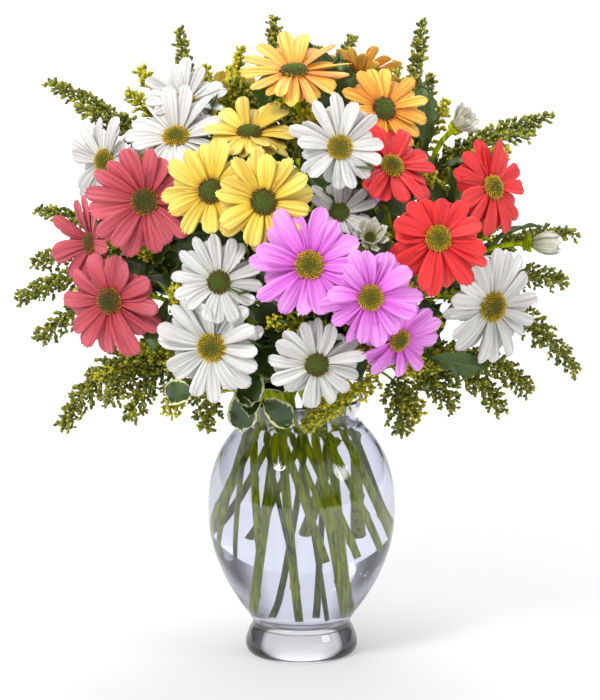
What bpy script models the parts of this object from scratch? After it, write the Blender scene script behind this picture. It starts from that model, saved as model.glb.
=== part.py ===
"""A bouquet of daisy flowers, goldenrod and pittosporum, standing in a footed glass vase of water.

Metres, +Z up. The vase stands on the origin and the bouquet faces -Y. Every stem is straight inside the vase,
and all of them lean round the neck the same way, as in a spiral-tied bouquet, so that none of them meet.
"""

import math
import random

import bpy
from mathutils import Matrix, Vector

MM = 0.001

# Vase: heights above the table, radii outside
VASE_HEIGHT = 189.0
RIM_RADIUS = 44.4
NECK_RADIUS = 41.3
NECK_BELOW_RIM = 15.0
BELLY_RADIUS = 67.5
BELLY_HEIGHT = 102.0
WAIST_RADIUS = 35.2
WAIST_HEIGHT = 22.0
FOOT_RADIUS = 40.6
VASE_WALL = 3.0
FLOOR_RADIUS = 32.5
FLOOR_RISE = 9.5
VASE_STEPS = 30

# Water
WATER_BELOW_RIM = 20.0
FIT_GAP = 0.3

# Stems where they are gathered in the neck: how much they lean in the outer ring and in the inner one, and
# the two rings that they stand in
STEM_RADIUS = 2.7
NECK_HEIGHT = VASE_HEIGHT - NECK_BELOW_RIM
NECK_LEAN = -0.0145
HEART_LEAN = -0.009
STRAIGHT_ABOVE_RIM = 14.0
NECK_CLEARANCE = 5.1
OUTER_RING = NECK_RADIUS - VASE_WALL - STEM_RADIUS - NECK_CLEARANCE
INNER_RING = OUTER_RING - 14.0
TWIG_RADIUS = 1.4
GOLDENROD_RADIUS = 1.7
SPRIG_RADIUS = 1.9
STALK_RADIUS = 0.8
STEM_TO_GLASS = 2.0

# Flower heads
DISC_SHARE = 0.135
PETALS = 10
PETAL_THICKNESS = 0.8
DISC_SIDES = 7

# Goldenrod plumes
PLUME_RADIUS = 5.5
PLUME_SIDES = 5

GREEN = (0.16, 0.27, 0.04, 1.0)
LEAF_GREEN = (0.07, 0.16, 0.03, 1.0)
WHITE = (0.82, 0.82, 0.80, 1.0)
SALMON = (0.72, 0.12, 0.14, 1.0)
YELLOW = (0.90, 0.72, 0.08, 1.0)
ORANGE = (0.90, 0.33, 0.02, 1.0)
RED = (0.85, 0.03, 0.03, 1.0)
MAGENTA = (0.82, 0.22, 0.72, 1.0)

# The flower heads stand on a dome over the vase: half its width, half its height, how high its middle is
# above the rim, and how far it reaches forward and back
DOME_HALF_WIDTH = 165.0
DOME_HALF_HEIGHT = 185.0
DOME_MIDDLE = 95.0
FRONT = -135.0
BACK = 120.0

# Each spray: name, colour, side of the dome, place in the neck (ring, bearing), how far up it branches, and
# its heads. A head: how far across, height above the rim, how far it stands out of the dome so that neighbours
# pass without touching, turn from straight ahead to the right, lift above level, width, form
SPRAYS = (
    ("salmon_spray", SALMON, FRONT, OUTER_RING, 235, 0.50, (
        (-105, 155, 5, -12, 10, 70, "open"),
        (-145, 120, -5, -62, 4, 58, "open"),
        (-130, 85, 5, -25, 0, 70, "open"))),
    ("yellow_spray", YELLOW, FRONT, OUTER_RING, 262, 0.55, (
        (-35, 200, -15, 0, 65, 62, "open"),
        (-60, 165, 5, -15, 12, 62, "open"),
        (-25, 160, 10, -4, 12, 64, "open"))),
    ("orange_spray", ORANGE, FRONT, INNER_RING, 340, 0.60, (
        (-5, 240, 0, -5, 72, 70, "open"),
        (55, 215, -10, 20, 25, 60, "open"),
        (40, 230, -50, 170, 50, 58, "open"))),
    ("red_spray", RED, FRONT, OUTER_RING, 10, 0.55, (
        (60, 180, 0, 25, 35, 60, "open"),
        (90, 135, 20, 15, 10, 64, "open"),
        (130, 160, 0, 42, 18, 62, "open"))),
    ("magenta_spray", MAGENTA, FRONT, OUTER_RING, 318, 0.55, (
        (5, 120, 15, 0, 12, 70, "open"),
        (45, 100, 25, 10, 4, 64, "open"),
        (65, 65, 0, 32, -18, 58, "open"))),
    ("white_spray_left", WHITE, FRONT, INNER_RING, 215, 0.60, (
        (-80, 215, -35, -5, 40, 56, "open"),
        (-85, 195, -15, -10, 50, 66, "open"),
        (-135, 175, -5, -40, 8, 62, "open"))),
    ("white_spray_middle", WHITE, FRONT, INNER_RING, 290, 0.60, (
        (25, 195, 15, 5, 18, 60, "open"),
        (25, 150, -10, 5, 28, 46, "open"),
        (45, 135, 5, 8, 25, 24, "half"))),
    ("white_spray_front", WHITE, FRONT, OUTER_RING, 290, 0.50, (
        (-55, 105, 0, -12, 10, 58, "open"),
        (-60, 60, 0, -12, 2, 70, "open"),
        (10, 50, 0, 2, -6, 60, "open"))),
    ("white_spray_right", WHITE, FRONT, OUTER_RING, 35, 0.55, (
        (130, 80, 0, 30, 0, 74, "open"),
        (105, 200, -10, 68, 40, 26, "half"),
        (160, 115, 0, 90, 0, 15, "shut"))),
    ("white_spray_back", WHITE, BACK, OUTER_RING, 185, 0.50, (
        (-120, 145, -40, -110, 12, 66, "open"),
        (-40, 145, 0, -170, 12, 68, "open"),
        (-85, 85, -10, -148, -2, 65, "open"))),
    ("yellow_spray_back", YELLOW, BACK, INNER_RING, 130, 0.60, (
        (0, 215, -15, 175, 48, 64, "open"),
        (60, 175, -10, 150, 22, 64, "open"),
        (-60, 200, -20, -150, 38, 62, "open"))),
    ("magenta_spray_back", MAGENTA, BACK, OUTER_RING, 110, 0.50, (
        (30, 110, 5, 170, 8, 70, "open"),
        (115, 115, -30, 115, 10, 64, "open"),
        (30, 45, 0, 168, -8, 62, "open"))),
)

# The places below are x, y and the height above the rim.
# Long leaves on the spray stems, as middle, turn, lift, length, width
SPRAY_LEAVES = {
    "white_spray_right": ((85, -50, 205, 5, 25, 56, 22), (105, -60, 160, 20, 30, 40, 18)),
    "magenta_spray": ((105, -85, 40, 20, 20, 46, 22),),
    "salmon_spray": ((-95, -85, 65, -30, 20, 40, 20),),
    "white_spray_back": ((-95, 70, 115, -140, 25, 50, 24),),
    "yellow_spray_back": ((25, 105, 160, 170, 35, 48, 22), (90, 65, 145, 130, 20, 46, 22)),
}

# Each goldenrod spray: place in the neck, where it branches, and for each plume its tip and how it hangs over
GOLDENROD = (
    ("goldenrod_left_top", INNER_RING, 255, (-60, -20, 140), (
        (-175, -20, 225, 10), (-155, -30, 210, 8), (-85, -10, 260, 0), (-120, 10, 190, 6))),
    ("goldenrod_top", INNER_RING, 25, (-10, -10, 155), (
        (-20, -15, 270, 0), (-45, -45, 230, 0), (35, -5, 255, 0), (10, 20, 245, 0))),
    ("goldenrod_right_top", INNER_RING, 65, (65, -10, 140), (
        (85, 10, 265, 4), (90, -20, 230, 2), (175, 0, 200, 12), (160, -20, 190, 12))),
    ("goldenrod_right", OUTER_RING, 60, (80, -20, 75), (
        (195, 10, 115, 16), (185, -20, 85, 14), (195, -10, 20, 26), (150, 40, 60, 16))),
    ("goldenrod_right_low", OUTER_RING, 342, (65, -60, 35), (
        (160, -30, 10, 22), (140, -45, 0, 20), (105, -65, 5, 14), (70, -70, -10, 14))),
    ("goldenrod_left", OUTER_RING, 160, (-70, -10, 85), (
        (-185, -10, 135, 8), (-190, 10, 95, 10), (-200, 0, 70, 16), (-185, -20, 45, 18))),
    ("goldenrod_left_low", OUTER_RING, 210, (-65, -35, 40), (
        (-170, -15, -20, 36), (-135, -45, 5, 26), (-120, -50, -5, 22), (-65, -80, -5, 14))),
    ("goldenrod_back", OUTER_RING, 85, (-5, 50, 65), (
        (-70, 130, 25, 12), (-20, 140, 55, 16), (90, 110, 25, 8), (15, 90, 5, 18))),
)

# Each pittosporum sprig: place in the neck, its end, and its leaves as middle, turn, lift, length, width
SPRIGS = (
    ("pittosporum_sprig_front", OUTER_RING, 248, (-35, -75, 15), (
        (-35, -85, 25, -10, 35, 34, 22), (-40, -75, 5, -20, 5, 32, 22),
        (-15, -80, 5, 10, 0, 30, 18), (-85, -80, 20, -40, 10, 30, 18))),
    ("pittosporum_sprig_back", OUTER_RING, 135, (-40, 75, 25), (
        (-45, 90, 35, -165, 30, 34, 22), (-60, 80, 15, -140, 5, 32, 22),
        (-25, 85, 10, 170, 0, 30, 20), (-75, 70, 30, -120, 10, 30, 20))),
)


def place(x, y, above_rim):
    return Vector((x, y, VASE_HEIGHT + above_rim)) * MM


def facing(turn, lift):
    turn, lift = math.radians(turn), math.radians(lift)
    return Vector((math.sin(turn) * math.cos(lift), -math.cos(turn) * math.cos(lift), math.sin(lift)))


def on_dome(depth, head):
    """A head's middle on this side of the dome, the way it faces, its width and its form."""
    across, height, out, turn, lift, width, form = head
    rise = (height - DOME_MIDDLE) / DOME_HALF_HEIGHT
    share = math.sqrt(1 - (across / DOME_HALF_WIDTH) ** 2 - rise**2)
    y = depth * share + math.copysign(out, depth * out)
    return place(across, y, height), facing(turn, lift), width, form


def axes_of(direction):
    """Two directions at right angles to this one and to each other."""
    side = Vector((0, 0, 1)).cross(direction)
    side = side.normalized() if side.length > 0.05 else Vector((1, 0, 0))
    return side, direction.cross(side).normalized()


def material(name, color, roughness, transmission=0.0):
    made = bpy.data.materials.new(name)
    made.use_nodes = True
    shader = made.node_tree.nodes["Principled BSDF"]
    shader.inputs["Base Color"].default_value = color
    shader.inputs["Roughness"].default_value = roughness
    shader.inputs["Metallic"].default_value = 0.0
    shader.inputs["Transmission Weight"].default_value = transmission
    made.diffuse_color = color
    return made


def mesh_object(name, points, faces, collection):
    mesh = bpy.data.meshes.new(name)
    mesh.from_pydata([tuple(p) for p in points], [], faces)
    mesh.validate()
    made = bpy.data.objects.new(name, mesh)
    collection.objects.link(made)
    return made


def lofted(rings):
    """Points and faces of a closed solid through these rings of equally many points, capped at both ends."""
    sides = len(rings[0])
    points = [p for ring in rings for p in ring]
    faces = [tuple(reversed(range(sides)))]
    for row in range(len(rings) - 1):
        for i in range(sides):
            a, b = row * sides + i, row * sides + (i + 1) % sides
            faces.append((a, b, b + sides, a + sides))
    last = (len(rings) - 1) * sides
    faces.append(tuple(range(last, last + sides)))
    return points, faces


def turned(profile, steps, axis=Vector((0, 0, 1)), origin=Vector((0, 0, 0))):
    """A solid turned round an axis from (radius, height) pairs, whose first and last lie on it. Heights run
    upward on the outside, so the faces point out."""
    side, other = axes_of(axis)
    points = [origin + axis * profile[0][1]]
    for radius, height in profile[1:-1]:
        for i in range(steps):
            angle = 2 * math.pi * i / steps
            out = side * math.cos(angle) + other * math.sin(angle)
            points.append(origin + axis * height + out * radius)
    points.append(origin + axis * profile[-1][1])
    faces = [(0, 1 + (i + 1) % steps, 1 + i) for i in range(steps)]
    for row in range(len(profile) - 3):
        for i in range(steps):
            a, b = 1 + row * steps + i, 1 + row * steps + (i + 1) % steps
            faces.append((a, b, b + steps, a + steps))
    last, top = 1 + (len(profile) - 3) * steps, len(points) - 1
    faces += [(last + i, last + (i + 1) % steps, top) for i in range(steps)]
    return points, faces


def tube(path, radii, sides):
    """A closed round tube along a path."""
    rings = []
    side = None
    for i, point in enumerate(path):
        before, after = path[max(i - 1, 0)], path[min(i + 1, len(path) - 1)]
        along = (after - before).normalized()
        if side is None:
            side = axes_of(along)[0]
        side = (side - along * side.dot(along)).normalized()
        other = along.cross(side)
        angles = [2 * math.pi * k / sides for k in range(sides)]
        rings.append([point + (side * math.cos(a) + other * math.sin(a)) * radii[i] for a in angles])
    return lofted(rings)


def bent(start, start_pull, end_pull, end, parts):
    """Points along a smooth curve from start to end, without the start."""
    made = []
    for i in range(1, parts + 1):
        t = i / parts
        u = 1 - t
        made.append(start * u**3 + start_pull * 3 * u * u * t + end_pull * 3 * u * t * t + end * t**3)
    return made


def joined(name, pieces, collection):
    """One closed solid made of these overlapping solids."""
    body = mesh_object(name, *pieces[0], collection)
    for number, piece in enumerate(pieces[1:]):
        other = mesh_object(f"{name}_piece_{number}", *piece, collection)
        union = body.modifiers.new("union", "BOOLEAN")
        union.operation, union.solver, union.object = "UNION", "EXACT", other
        apply_modifiers(body)
        bpy.data.objects.remove(other)
    return body


def apply_modifiers(body):
    bpy.context.view_layer.update()
    graph = bpy.context.evaluated_depsgraph_get()
    finished = bpy.data.meshes.new_from_object(body.evaluated_get(graph))
    body.modifiers.clear()
    body.data = finished


def vase_outer():
    """(height, radius) up the outside of the vase. The body falls away from its belly slowly, then fast."""
    rows = [(0.0, FOOT_RADIUS - 2.6), (3.0, FOOT_RADIUS - 0.3), (WAIST_HEIGHT * 0.36, FOOT_RADIUS)]
    rows += [(WAIST_HEIGHT * 0.73, (FOOT_RADIUS + WAIST_RADIUS) / 2), (WAIST_HEIGHT, WAIST_RADIUS)]
    for share in (0.91, 0.75, 0.54, 0.28, 0.0):
        fall = min(1.06 * share**1.9, 1.0) * (BELLY_RADIUS - WAIST_RADIUS)
        rows.append((BELLY_HEIGHT - share * (BELLY_HEIGHT - WAIST_HEIGHT), BELLY_RADIUS - fall))
    for share in (0.32, 0.58, 0.77, 0.90, 1.0):
        fall = min(1.12 * share**2.75, 1.0) * (BELLY_RADIUS - NECK_RADIUS)
        rows.append((BELLY_HEIGHT + share * (NECK_HEIGHT - BELLY_HEIGHT), BELLY_RADIUS - fall))
    rows.append((NECK_HEIGHT + NECK_BELOW_RIM * 0.45, NECK_RADIUS + (RIM_RADIUS - NECK_RADIUS) * 0.15))
    return rows + [(VASE_HEIGHT, RIM_RADIUS)]


def vase_inner():
    """(height, radius) up the inside of the vase: the curved floor, then one wall inside the outside."""
    inner = [(floor_height(FLOOR_RADIUS * share), FLOOR_RADIUS * share) for share in (0.0, 0.55, 1.0)]
    start = inner[-1][0] + 4.0
    return inner + [(height, radius - VASE_WALL) for height, radius in vase_outer() if height > start]


def floor_height(radius):
    return WAIST_HEIGHT + FLOOR_RISE * (radius / FLOOR_RADIUS) ** 3.5


def inner_radius(height):
    rows = vase_inner()
    for (h0, r0), (h1, r1) in zip(rows, rows[1:]):
        if h0 <= height <= h1:
            return r0 + (r1 - r0) * (height - h0) / (h1 - h0)
    return rows[-1][1] if height > rows[-1][0] else 0.0


def build_vase(collection, look):
    outer = [(radius * MM, height * MM) for height, radius in vase_outer()]
    inner = [(radius * MM, height * MM) for height, radius in reversed(vase_inner())]
    profile = [(0, 0)] + outer + inner[:-1] + [(0, WAIST_HEIGHT * MM)]
    vase = mesh_object("vase", *turned(profile, VASE_STEPS), collection)
    vase.data.materials.append(look)


def in_neck(ring, bearing, height):
    """The middle of a stem at this height, on its straight part."""
    angle = math.radians(bearing)
    out = Vector((math.cos(angle), math.sin(angle), 0)) * ring
    lean = NECK_LEAN if ring == OUTER_RING else HEART_LEAN
    along = Vector((-math.sin(angle), math.cos(angle), 0)) * ring * lean * (height - NECK_HEIGHT)
    return (out + along + Vector((0, 0, height))) * MM


def foot_height(ring, bearing, radius):
    """How low this stem reaches before it comes near the glass."""
    height = NECK_HEIGHT - 10.0
    while height > WAIST_HEIGHT:
        out = in_neck(ring, bearing, height).xy.length / MM + radius
        if out + STEM_TO_GLASS > inner_radius(height - 1.0) or height < floor_height(out) + STEM_TO_GLASS:
            break
        height -= 0.5
    return height + 0.5


def straight_part(ring, bearing, radius):
    """The two ends of a stem's straight part, from its foot to just above the rim."""
    foot = in_neck(ring, bearing, foot_height(ring, bearing, radius))
    return [foot, in_neck(ring, bearing, VASE_HEIGHT + STRAIGHT_ABOVE_RIM)]


def head_parts(head):
    """The cup and disc that end a stem, and where the stem enters it."""
    middle, axis, width, form = head
    disc = disc_radius(width, form)
    dome = {"open": 0.30, "half": 0.20, "shut": 0.0}[form] * disc
    cup = [(0, -6.5), (2.4, -6.0), (disc * 0.72, -3.0), (disc * 0.97, -1.2), (disc, 1.2)]
    cup += [(disc * 0.62, 1.2 + dome * 0.75)] if dome else []
    cup += [(0, 1.2 + dome)]
    profile = [(r * MM, h * MM) for r, h in cup]
    return turned(profile, DISC_SIDES, axis, middle), middle - axis * 4.5 * MM, axis


def disc_radius(width, form):
    return width * {"open": DISC_SHARE, "half": 0.20, "shut": 0.46}[form]


def build_spray(spray, collection, green):
    name, _, depth, ring, bearing, share, heads = spray
    start = straight_part(ring, bearing, STEM_RADIUS)
    leave = (start[-1] - start[0]).normalized()
    parts = [head_parts(on_dome(depth, head)) for head in heads]
    mean = sum((end for _, end, _ in parts), Vector()) / len(parts)
    fork = start[-1].lerp(mean, share)
    onward = (mean - start[-1]).normalized()
    path = start + bent(start[-1], start[-1] + leave * 0.025, fork - onward * 0.02, fork, 3)
    pieces = []
    for number, (solid, end, axis) in enumerate(parts):
        reach = (end - fork).length
        twig = bent(fork, fork + onward * reach * 0.3, end - axis * reach * 0.4, end, 3)
        if number == 0:
            radii = [STEM_RADIUS] * (len(path) - 1) + [STEM_RADIUS * 0.9] + [TWIG_RADIUS] * len(twig)
            pieces.insert(0, tube(path + twig, [r * MM for r in radii], 6))
        else:
            pieces.append(tube([fork] + twig, [TWIG_RADIUS * MM] * (len(twig) + 1), 5))
        pieces.append(solid)
    for leaf in SPRAY_LEAVES.get(name, ()):
        pieces += stalked_leaf(leaf, path[-2])
    stem = joined(name + "_stem", pieces, collection)
    stem.data.materials.append(green)


def petal_height(form, t):
    """How far a petal stands forward at a share t of the head's radius, as a share of that radius."""
    if form == "half":
        return -0.1 + 1.05 * t
    return 0.02 + 0.16 * t - 0.14 * t * t


def build_petals(name, head, look, phase, collection):
    middle, axis, width, form = head
    side, other = axes_of(axis)
    hole, radius = disc_radius(width, form) + FIT_GAP, width / 2
    if form == "shut":
        base = 1.2 + FIT_GAP
        bud = [(0, base), (hole * 0.85, base), (radius, base + 6), (radius * 0.92, base + 14)]
        bud += [(radius * 0.5, base + 20), (0, base + 22)]
        profile = [(r * MM, h * MM) for r, h in bud]
        petals = mesh_object(name, *turned(profile, DISC_SIDES, axis, middle), collection)
        petals.data.materials.append(look)
        return
    count = PETALS if width > 50 else PETALS - 3
    step = 2 * math.pi / count
    hole /= math.cos(step / 2)
    outline = ((hole, 0.0), (hole + (radius - hole) * 0.35, 0.0), (radius, 0.24), (radius, 0.76))
    points, faces = [], []
    for k in range(count):
        for level in (-0.5, 0.5):
            for reach, share in outline:
                angle = phase + (k + share) * step
                height = petal_height(form, reach / radius) * radius + level * PETAL_THICKNESS
                flat = side * math.cos(angle) + other * math.sin(angle)
                points.append(middle + (flat * reach + axis * height) * MM)
    size = len(outline)
    for k in range(count):
        low, after = k * 2 * size, (k + 1) % count * 2 * size
        high, high_after = low + size, after + size
        faces += [(low, after, after + 1, low + 1), (high, high + 1, high_after + 1, high_after)]
        faces += [(low + 1, after + 1, low + 3, low + 2), (high + 1, high + 2, high + 3, high_after + 1)]
        faces += [(low, high, high_after, after)]
        faces += [(low + i, low + i + 1, high + i + 1, high + i) for i in (1, 2)]
        faces.append((low + 3, after + 1, high_after + 1, high + 3))
    petals = mesh_object(name, points, faces, collection)
    petals.data.materials.append(look)


def build_goldenrod(spray, collection, look):
    name, ring, bearing, fork, plumes = spray
    start = straight_part(ring, bearing, GOLDENROD_RADIUS)
    leave, fork = (start[-1] - start[0]).normalized(), place(*fork)
    onward = (fork - start[-1]).normalized()
    path = start + bent(start[-1], start[-1] + leave * 0.025, fork - onward * 0.02, fork, 3)
    pieces = [tube(path, [GOLDENROD_RADIUS * MM] * len(path), 5)]
    for number, (x, y, z, hang) in enumerate(plumes):
        tip, fork = place(x, y, z), path[-1] - onward * (1.0 + 1.7 * number) * MM
        reach = (tip - fork).length
        along = (tip - fork).normalized()
        down = Vector((0, 0, hang * MM))
        pull, end_pull = (onward + along) * reach * 0.2 + down * 0.5, along * reach * 0.25 - down
        curve = bent(fork, fork + pull, tip - end_pull, tip, 5)
        shape = (0.2, 0.22, 0.45, 1.0, 0.8, 0.12)
        pieces.append(tube([fork] + curve, [s * PLUME_RADIUS * MM for s in shape], PLUME_SIDES))
    body = joined(name, pieces, collection)
    body.data.materials.append(look)


def leaf_solid(leaf, join):
    """A rounded leaf, from where its stalk joins to a blunt tip, as a thin closed plate."""
    x, y, z, turn, lift, length, width = leaf
    middle, axis = place(x, y, z), facing(turn, lift)
    along = middle - join
    along = (along - axis * along.dot(axis)).normalized()
    side = axis.cross(along)
    outline = ((-0.5, 0.07), (-0.22, 0.42), (0.12, 0.5), (0.38, 0.3), (0.5, 0.05))
    around = [(a, -w) for a, w in outline] + [(a, w) for a, w in reversed(outline)]
    rings = []
    for level in (-0.4, 0.4):
        flat = [along * a * length + side * w * width for a, w in around]
        rings.append([middle + (point + axis * level) * MM for point in flat])
    return lofted(rings), middle - along * length * 0.5 * MM, along


def stalked_leaf(leaf, root):
    """A leaf and the stalk that joins it to the stem."""
    solid, base, along = leaf_solid(leaf, root)
    return [tube([root, base + along * 3 * MM], [STALK_RADIUS * MM] * 2, 4), solid]


def build_sprig(sprig, collection, look):
    name, ring, bearing, end, leaves = sprig
    start = straight_part(ring, bearing, SPRIG_RADIUS)
    leave, end = (start[-1] - start[0]).normalized(), place(*end)
    onward = (end - start[-1]).normalized()
    path = start + bent(start[-1], start[-1] + leave * 0.015, end - onward * 0.015, end, 4)
    pieces = [tube(path, [SPRIG_RADIUS * MM] * len(path), 5)]
    for leaf in leaves:
        pieces += stalked_leaf(leaf, path[-2])
    body = joined(name, pieces, collection)
    body.data.materials.append(look)


def neck_places():
    """Ring, bearing and radius of every stem."""
    places = [(s[3], s[4], STEM_RADIUS) for s in SPRAYS]
    places += [(s[1], s[2], GOLDENROD_RADIUS) for s in GOLDENROD]
    return places + [(s[1], s[2], SPRIG_RADIUS) for s in SPRIGS]


def build_water(collection, helpers, look):
    """The water fills the vase to its level, a gap inside the glass, with a channel for each stem."""
    top = VASE_HEIGHT - WATER_BELOW_RIM
    wet = []
    for height, radius in vase_inner():
        if height < top - 2.0:
            inward = FIT_GAP if height < BELLY_HEIGHT else -FIT_GAP
            wet.append((max(radius - FIT_GAP, 0.0) * MM, (height + inward) * MM))
    edge = (inner_radius(top) - FIT_GAP) * MM
    profile = [(0, (WAIST_HEIGHT + FIT_GAP) * MM)] + wet[1:] + [(edge, top * MM), (0, top * MM)]
    water = mesh_object("water", *turned(profile, VASE_STEPS), collection)
    for number, (ring, bearing, radius) in enumerate(neck_places()):
        low, high = straight_part(ring, bearing, radius)
        low -= (high - low).normalized() * FIT_GAP * MM
        wide = (radius + FIT_GAP * 1.25) * MM
        channel = mesh_object(f"channel_{number}", *tube([low, high], [wide, wide], 6), helpers)
        channel.hide_render, channel.display_type = True, "WIRE"
        cut = water.modifiers.new(f"channel_{number}", "BOOLEAN")
        cut.operation, cut.solver, cut.object = "DIFFERENCE", "EXACT", channel
    water.data.materials.append(look)


def main():
    for old in list(bpy.data.objects):
        bpy.data.objects.remove(old)
    bouquet = bpy.data.collections.new("bouquet_in_vase")
    helpers = bpy.data.collections.new("cutters")
    bpy.context.scene.collection.children.link(bouquet)
    bpy.context.scene.collection.children.link(helpers)

    build_vase(bouquet, material("glass", (0.93, 0.95, 0.97, 1.0), 0.02, 1.0))
    build_water(bouquet, helpers, material("water", (0.96, 0.98, 1.0, 1.0), 0.02, 1.0))

    green = material("stem_green", GREEN, 0.6)
    dice = random.Random(7)
    for spray in SPRAYS:
        name, color, depth, heads = spray[0], spray[1], spray[2], spray[6]
        build_spray(spray, bouquet, green)
        look = material(name + "_petals", color, 0.55)
        for number, head in enumerate(heads, 1):
            phase = dice.uniform(0, 2 * math.pi)
            build_petals(f"{name}_petals_{number}", on_dome(depth, head), look, phase, bouquet)

    bud_green = material("goldenrod", (0.36, 0.36, 0.05, 1.0), 0.7)
    for spray in GOLDENROD:
        build_goldenrod(spray, bouquet, bud_green)
    leaf_green = material("pittosporum", LEAF_GREEN, 0.4)
    for sprig in SPRIGS:
        build_sprig(sprig, bouquet, leaf_green)


main()
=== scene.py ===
import math
import random
from math import radians

import bpy
import numpy as np
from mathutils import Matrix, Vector


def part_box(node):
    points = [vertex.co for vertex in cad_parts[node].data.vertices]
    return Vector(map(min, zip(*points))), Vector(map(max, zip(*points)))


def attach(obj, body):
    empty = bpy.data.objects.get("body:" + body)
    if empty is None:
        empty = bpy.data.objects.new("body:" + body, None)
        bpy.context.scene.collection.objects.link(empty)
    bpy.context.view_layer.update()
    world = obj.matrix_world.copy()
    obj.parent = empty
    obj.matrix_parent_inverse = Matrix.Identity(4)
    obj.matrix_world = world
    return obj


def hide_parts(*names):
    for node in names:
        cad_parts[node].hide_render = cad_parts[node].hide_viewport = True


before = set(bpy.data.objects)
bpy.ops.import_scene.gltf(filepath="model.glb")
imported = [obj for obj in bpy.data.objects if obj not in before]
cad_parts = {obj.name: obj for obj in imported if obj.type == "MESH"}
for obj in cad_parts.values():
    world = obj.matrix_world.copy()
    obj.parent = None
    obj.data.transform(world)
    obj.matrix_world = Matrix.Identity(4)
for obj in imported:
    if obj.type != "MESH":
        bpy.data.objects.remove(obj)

# A bouquet of daisy flowers, goldenrod and pittosporum in a footed glass vase of water. It faces -Y.

MM = 0.001
TURN = 2 * math.pi
GOLDEN_TURN = radians(137.508)
RIM_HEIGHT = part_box("vase")[1].z
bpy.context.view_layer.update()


# ---- small tools

def deselect():
    bpy.ops.object.select_all(action="DESELECT")


def pick(*pieces):
    """Selects these pieces alone, with the first one active."""
    deselect()
    for piece in pieces:
        piece.select_set(True)
    bpy.context.view_layer.objects.active = pieces[0]


def linked(name, data):
    """A new object in the scene that holds this data."""
    made = bpy.data.objects.new(name, data)
    bpy.context.scene.collection.objects.link(made)
    return made


def applied(piece, kind, **settings):
    """Adds a modifier with these settings and applies it."""
    pick(piece)
    modifier = piece.modifiers.new(kind.lower(), kind)
    for name, value in settings.items():
        setattr(modifier, name, value)
    bpy.ops.object.modifier_apply(modifier=modifier.name)
    return piece


def read_shape(piece):
    """Points, face corners and face sizes of a modelled pattern, which is then put away."""
    mesh = piece.data
    points = np.empty(len(mesh.vertices) * 3)
    mesh.vertices.foreach_get("co", points)
    corners = np.empty(len(mesh.loops), np.int32)
    mesh.loops.foreach_get("vertex_index", corners)
    sizes = np.empty(len(mesh.polygons), np.int32)
    mesh.polygons.foreach_get("loop_total", sizes)
    bpy.data.objects.remove(piece)
    return points.reshape(-1, 3), corners, sizes


def gathered(name, parts, *looks):
    """One object in these looks from many copies. A part is (points, corners, sizes, grain, look number)."""
    points = np.concatenate([part[0] for part in parts])
    grain = np.concatenate([part[3] for part in parts])
    starts = np.cumsum([0] + [len(part[0]) for part in parts])
    corners = np.concatenate([part[1] + start for part, start in zip(parts, starts)])
    sizes = np.concatenate([part[2] for part in parts])
    numbers = np.concatenate([np.full(len(part[2]), part[4], np.int32) for part in parts])
    mesh = bpy.data.meshes.new(name)
    mesh.vertices.add(len(points))
    mesh.vertices.foreach_set("co", points.astype(np.float32).ravel())
    mesh.loops.add(len(corners))
    mesh.loops.foreach_set("vertex_index", corners.astype(np.int32))
    mesh.polygons.add(len(sizes))
    first = np.concatenate([[0], np.cumsum(sizes)[:-1]])
    mesh.polygons.foreach_set("loop_start", first.astype(np.int32))
    mesh.polygons.foreach_set("material_index", numbers)
    mesh.polygons.foreach_set("use_smooth", np.ones(len(sizes), bool))
    mesh.update(calc_edges=True)
    mesh.attributes.new("grain", "FLOAT_VECTOR", "POINT").data.foreach_set(
        "vector", grain.astype(np.float32).ravel())
    for look in looks:
        mesh.materials.append(look)
    return linked(name, mesh)


def joined_up(name, *pieces):
    """These objects as one piece."""
    pick(*pieces)
    bpy.ops.object.join()
    pieces[0].name = name
    return pieces[0]


def rods(name, runs, look, fineness=3):
    """Round rods along runs of points, each run (points, radii), as one mesh."""
    curve = bpy.data.curves.new(name, "CURVE")
    curve.dimensions, curve.bevel_depth, curve.bevel_resolution = "3D", 1.0, fineness
    curve.use_fill_caps = True
    for points, radii in runs:
        spline = curve.splines.new("POLY")
        spline.points.add(len(points) - 1)
        spline.points.foreach_set("co", np.column_stack([points, np.ones(len(points))]).ravel())
        spline.points.foreach_set("radius", np.asarray(radii, float))
    curve.materials.append(look)
    made = linked(name, curve)
    pick(made)
    bpy.ops.object.convert(target="MESH")
    bpy.ops.object.shade_smooth()
    return made


def arc(start, start_pull, end_pull, end, parts):
    """Points along a smooth curve from start to end."""
    t = np.linspace(0, 1, parts + 1)[:, None]
    u = 1 - t
    return start * u**3 + 3 * start_pull * u * u * t + 3 * end_pull * u * t * t + end * t**3


def unit(vector):
    return vector / np.linalg.norm(vector)


def axes_of(direction):
    """Two directions at right angles to this one and to each other."""
    side = np.cross((0, 0, 1), direction)
    side = unit(side) if np.linalg.norm(side) > 0.05 else np.array((1.0, 0, 0))
    return side, unit(np.cross(direction, side))


def run_lengths(points):
    """How far along this run of points each one lies."""
    return np.concatenate([[0], np.cumsum(np.linalg.norm(np.diff(points, axis=0), axis=1))])


def spray_node(spray):
    """A spray's name in the CAD: "red" is red_spray, "white_left" is white_spray_left."""
    return "_spray_".join(spray.split("_")) if "_" in spray else spray + "_spray"


def ring_node(place):
    """The CAD node of a ring of petals: "white_left 1" is white_spray_left_petals_1."""
    spray, number = place.split()
    return f"{spray_node(spray)}_petals_{number}"


def ring_middle(place):
    low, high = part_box(ring_node(place))
    return np.array((low + high) / 2)


def node_points(node):
    """The corner points of a CAD node."""
    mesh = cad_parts[node].data
    points = np.empty(len(mesh.vertices) * 3)
    mesh.vertices.foreach_get("co", points)
    return np.unique(np.round(points.reshape(-1, 3), 6), axis=0)


def above_rim(x, y, z):
    return np.array((x * MM, y * MM, RIM_HEIGHT + z * MM))


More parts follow.
